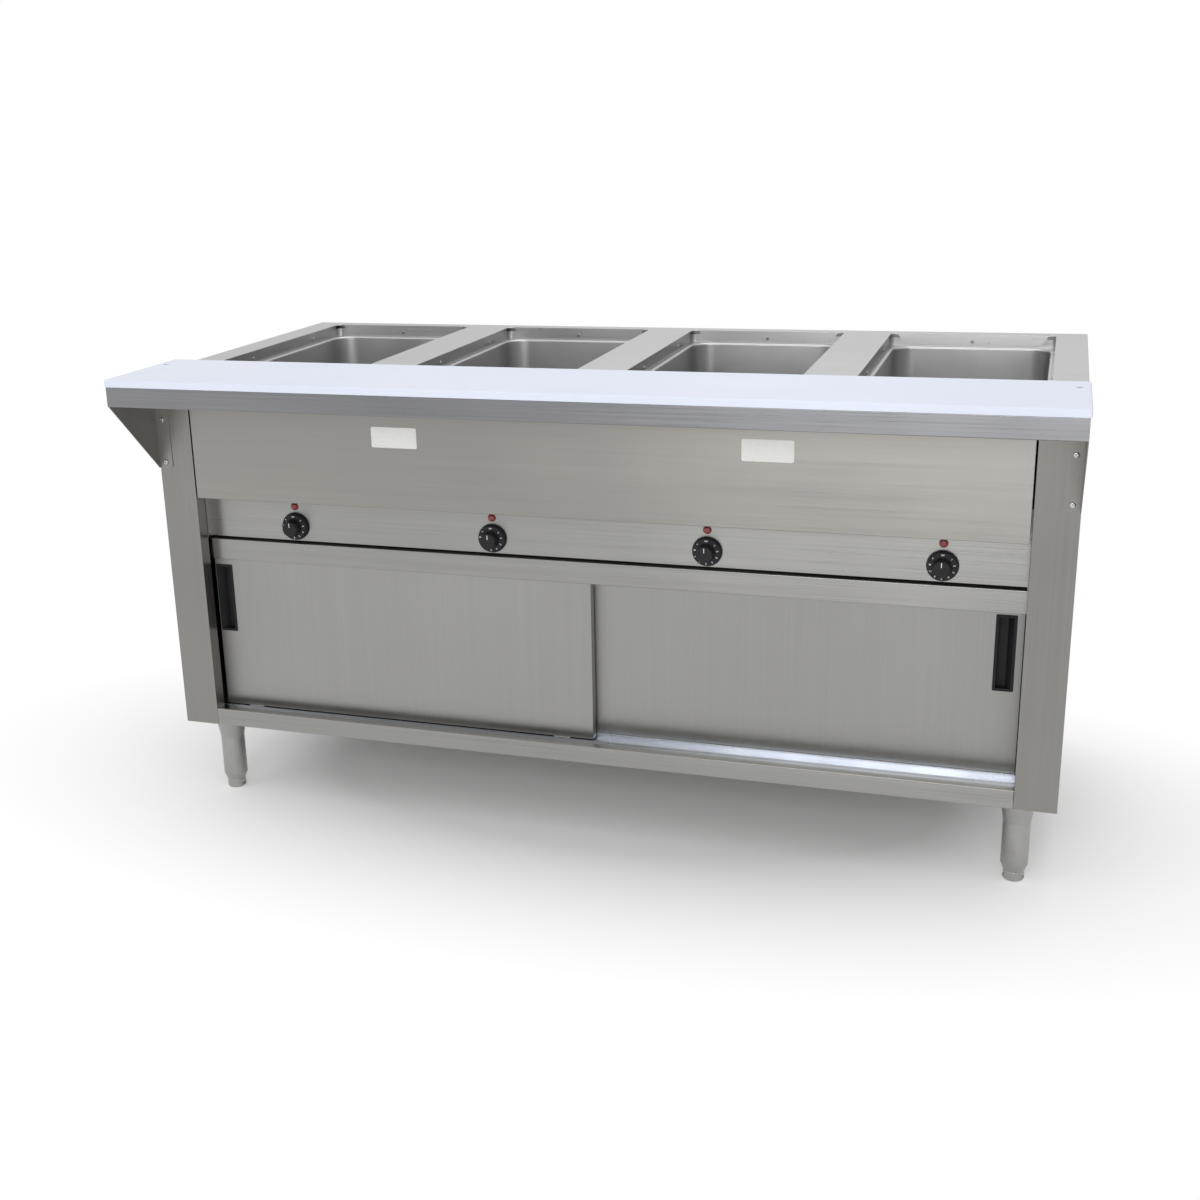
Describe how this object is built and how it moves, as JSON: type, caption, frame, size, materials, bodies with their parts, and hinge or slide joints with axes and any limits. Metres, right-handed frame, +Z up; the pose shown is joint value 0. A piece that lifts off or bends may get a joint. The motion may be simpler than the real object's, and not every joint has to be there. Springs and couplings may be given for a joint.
{
  "type": "steam table",
  "caption": "Electric hot food table with open wells, a white carving board on a bracketed shelf, dial controls, a closed base with sliding doors and short levelling legs.",
  "frame": {"origin": "on the floor, in the middle of the table's outline, board and cable gland included", "axes": "+X to the right as the operator faces the controls, +Y from the controls to the back, +Z up"},
  "size_m": [1.59, 0.842, 0.8327],
  "materials": {
    "deck_steel": "brushed along the length",
    "body_steel": "brushed",
    "control_steel": "brushed along the length",
    "rail_steel": "brushed along the length",
    "door_steel": "brushed",
    "track_steel": "smooth",
    "shelf_steel": "brushed along the length",
    "bracket_steel": "brushed",
    "well_steel": "drawn, satin",
    "frame_steel": "galvanised",
    "leg_steel": "satin",
    "foot_steel": "satin",
    "screw_steel": "smooth",
    "element_sheath": "oxidised sheath",
    "board_white": "fine matt grain",
    "pull_black": "satin moulding",
    "knob_black": "satin moulding",
    "glide_nylon": "plain",
    "switch_brown": "plain",
    "lamp_bezel": "glossy",
    "lamp_red": "clear red",
    "gland_black": "plain",
    "pad_fibre": "fibre board"
  },
  "bodies": {
    "cabinet": {"top_deck": "deck_steel", "front_deck_rail": "frame_steel", "rear_deck_rail": "frame_steel", "left_side_panel": "body_steel", "right_side_panel": "body_steel", "back_panel": "body_steel", "front_apron": "body_steel", "control_panel": "control_steel", "door_header_rail": "rail_steel", "cabinet_floor": "rail_steel", "lower_door_track": "track_steel", "upper_door_track": "track_steel", "work_shelf": "shelf_steel", "cutting_board": "board_white", "left_shelf_bracket": "bracket_steel", "right_shelf_bracket": "bracket_steel", "board_screws": "screw_steel", "bracket_screws": "screw_steel", "left_leg_channel": "frame_steel", "right_leg_channel": "frame_steel", "well_screws": "screw_steel", "heater_trays": "frame_steel", "heater_pads": "pad_fibre", "thermostat_bodies": "switch_brown", "indicator_bodies": "lamp_bezel", "indicator_lenses": "lamp_red", "wire_duct": "frame_steel", "terminal_box": "frame_steel", "cord_gland": "gland_black", "well_pan_1": "well_steel", "heating_element_1": "element_sheath", "well_pan_2": "well_steel", "heating_element_2": "element_sheath", "well_pan_3": "well_steel", "heating_element_3": "element_sheath", "well_pan_4": "well_steel", "heating_element_4": "element_sheath", "leg_front_left": "leg_steel", "leg_front_right": "leg_steel", "leg_rear_left": "leg_steel", "leg_rear_right": "leg_steel"},
    "left_door": {"left_door": "door_steel", "left_door_pull": "pull_black", "left_door_glides": "glide_nylon"},
    "right_door": {"right_door": "door_steel", "right_door_pull": "pull_black", "right_door_glides": "glide_nylon"},
    "knob_1": {"knob_1": "knob_black", "thermostat_shaft_1": "screw_steel"},
    "knob_2": {"knob_2": "knob_black", "thermostat_shaft_2": "screw_steel"},
    "knob_3": {"knob_3": "knob_black", "thermostat_shaft_3": "screw_steel"},
    "knob_4": {"knob_4": "knob_black", "thermostat_shaft_4": "screw_steel"},
    "foot_front_left": {"foot_front_left": "foot_steel"},
    "foot_front_right": {"foot_front_right": "foot_steel"},
    "foot_rear_left": {"foot_rear_left": "foot_steel"},
    "foot_rear_right": {"foot_rear_right": "foot_steel"}
  },
  "joints": [
    {"name": "left_door_slide", "type": "slide", "parent": "cabinet", "child": "left_door", "axis": [1, 0, 0], "range_m": [-0.005, 0.7]},
    {"name": "right_door_slide", "type": "slide", "parent": "cabinet", "child": "right_door", "axis": [-1, 0, 0], "range_m": [-0.004, 0.7]},
    {"name": "knob_1_turn", "type": "hinge", "parent": "cabinet", "child": "knob_1", "pos_m": [-0.549, -0.238, 0.5415], "axis": [0, 1, 0], "range_deg": [0, 300]},
    {"name": "knob_2_turn", "type": "hinge", "parent": "cabinet", "child": "knob_2", "pos_m": [-0.1684, -0.238, 0.5415], "axis": [0, 1, 0], "range_deg": [0, 300]},
    {"name": "knob_3_turn", "type": "hinge", "parent": "cabinet", "child": "knob_3", "pos_m": [0.2122, -0.238, 0.5415], "axis": [0, 1, 0], "range_deg": [0, 300]},
    {"name": "knob_4_turn", "type": "hinge", "parent": "cabinet", "child": "knob_4", "pos_m": [0.5928, -0.238, 0.5415], "axis": [0, 1, 0], "range_deg": [0, 300]},
    {"name": "foot_front_left_screw", "type": "slide", "parent": "cabinet", "child": "foot_front_left", "axis": [0, 0, -1], "range_m": [0, 0.025]},
    {"name": "foot_front_right_screw", "type": "slide", "parent": "cabinet", "child": "foot_front_right", "axis": [0, 0, -1], "range_m": [0, 0.025]},
    {"name": "foot_rear_left_screw", "type": "slide", "parent": "cabinet", "child": "foot_rear_left", "axis": [0, 0, -1], "range_m": [0, 0.025]},
    {"name": "foot_rear_right_screw", "type": "slide", "parent": "cabinet", "child": "foot_rear_right", "axis": [0, 0, -1], "range_m": [0, 0.025]}
  ]
}
